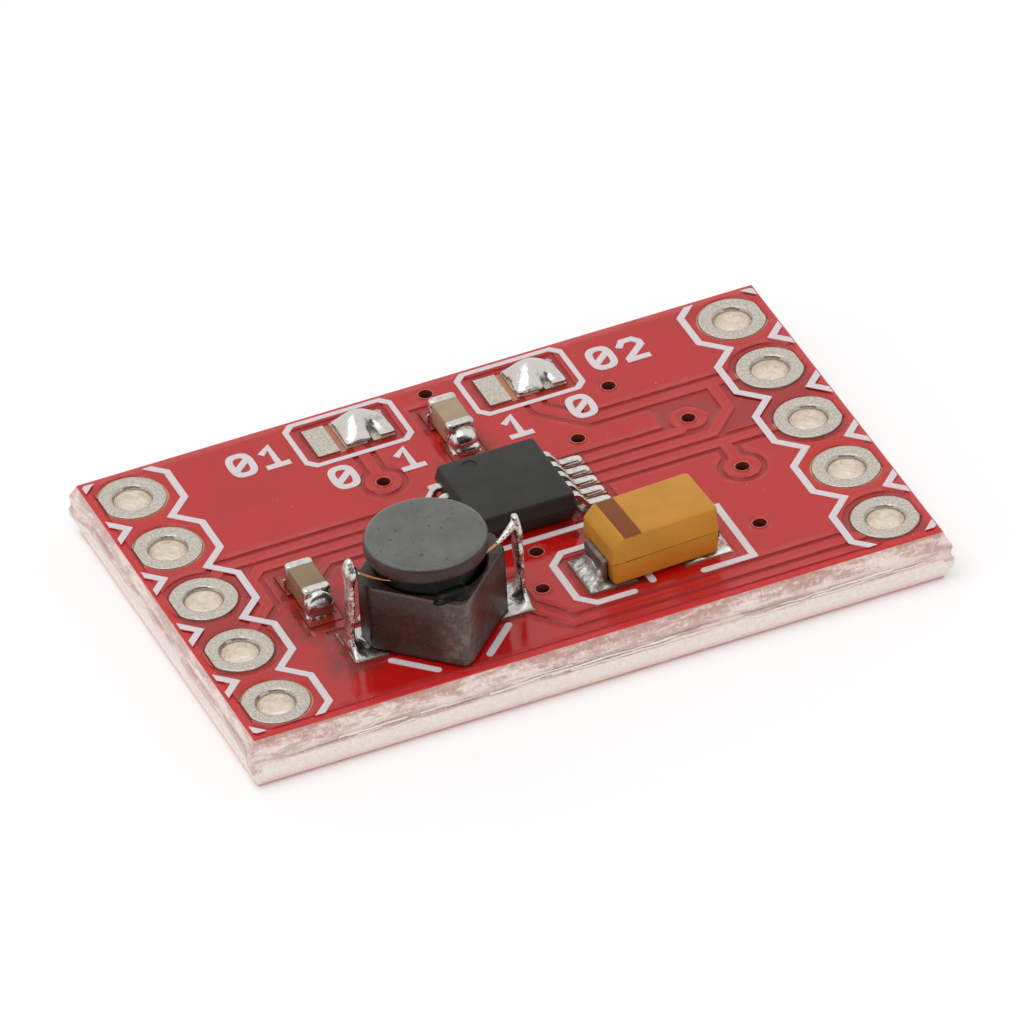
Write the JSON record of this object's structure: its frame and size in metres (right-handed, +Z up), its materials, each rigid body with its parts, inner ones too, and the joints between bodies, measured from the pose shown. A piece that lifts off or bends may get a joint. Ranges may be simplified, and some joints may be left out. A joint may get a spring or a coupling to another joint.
{
  "type": "energy harvesting power module",
  "caption": "Small circuit board with plated header holes along both short sides, carrying a power chip, a shielded coil, capacitors and solder jumpers that store and regulate harvested energy.",
  "frame": {"origin": "middle of the underside of the board", "axes": "+X along the long side, towards the row of header holes beside the capacitor; +Y to the back edge with the solder jumpers; +Z up through the parts"},
  "size_m": [0.0206, 0.0132, 0.0046],
  "materials": {
    "laminate": "matt, fibrous where snapped",
    "copper": "bare copper",
    "solder_mask": "gloss",
    "printed_ink": "matt",
    "tin_plating": "satin, lightly speckled",
    "solder": "bright",
    "chip_moulding": "matt",
    "tinned_lead": "satin",
    "ferrite": "matt, grainy",
    "glue": "semi-gloss",
    "enamelled_wire": "clear enamel over copper",
    "coil_terminal": "tinned",
    "capacitor_moulding": "semi-gloss",
    "ceramic": "semi-matt",
    "ceramic_end_metal": "bright tin"
  },
  "bodies": {
    "root": {"substrate": "laminate", "top_copper": "copper", "bottom_copper": "copper", "top_solder_mask": "solder_mask", "bottom_solder_mask": "solder_mask", "top_ink": "printed_ink", "via_barrels": "copper", "plated_hole_left_1": "tin_plating", "plated_hole_left_2": "tin_plating", "plated_hole_left_3": "tin_plating", "plated_hole_left_4": "tin_plating", "plated_hole_left_5": "tin_plating", "plated_hole_right_1": "tin_plating", "plated_hole_right_2": "tin_plating", "plated_hole_right_3": "tin_plating", "plated_hole_right_4": "tin_plating", "plated_hole_right_5": "tin_plating", "chip_pads": "tin_plating", "coil_pads": "tin_plating", "tantalum_pads": "tin_plating", "back_ceramic_pads": "tin_plating", "left_ceramic_pads": "tin_plating", "left_jumper_pads": "tin_plating", "right_jumper_pads": "tin_plating", "left_jumper_bridge": "solder", "right_jumper_bridge": "solder", "chip_body": "chip_moulding", "chip_solder": "solder", "chip_lead_left_1": "tinned_lead", "chip_lead_left_2": "tinned_lead", "chip_lead_left_3": "tinned_lead", "chip_lead_left_4": "tinned_lead", "chip_lead_left_5": "tinned_lead", "chip_lead_right_1": "tinned_lead", "chip_lead_right_2": "tinned_lead", "chip_lead_right_3": "tinned_lead", "chip_lead_right_4": "tinned_lead", "chip_lead_right_5": "tinned_lead", "coil_drum": "ferrite", "coil_winding": "enamelled_wire", "coil_shield": "ferrite", "coil_glue": "glue", "coil_terminal_left": "coil_terminal", "coil_terminal_right": "coil_terminal", "coil_wire_left": "enamelled_wire", "coil_wire_right": "enamelled_wire", "coil_solder": "solder", "tantalum_case": "capacitor_moulding", "tantalum_strip_left": "tinned_lead", "tantalum_strip_right": "tinned_lead", "tantalum_solder": "solder", "back_ceramic_body": "ceramic", "back_ceramic_end_front": "ceramic_end_metal", "back_ceramic_end_back": "ceramic_end_metal", "back_ceramic_solder": "solder", "left_ceramic_body": "ceramic", "left_ceramic_end_front": "ceramic_end_metal", "left_ceramic_end_back": "ceramic_end_metal", "left_ceramic_solder": "solder"}
  },
  "joints": []
}
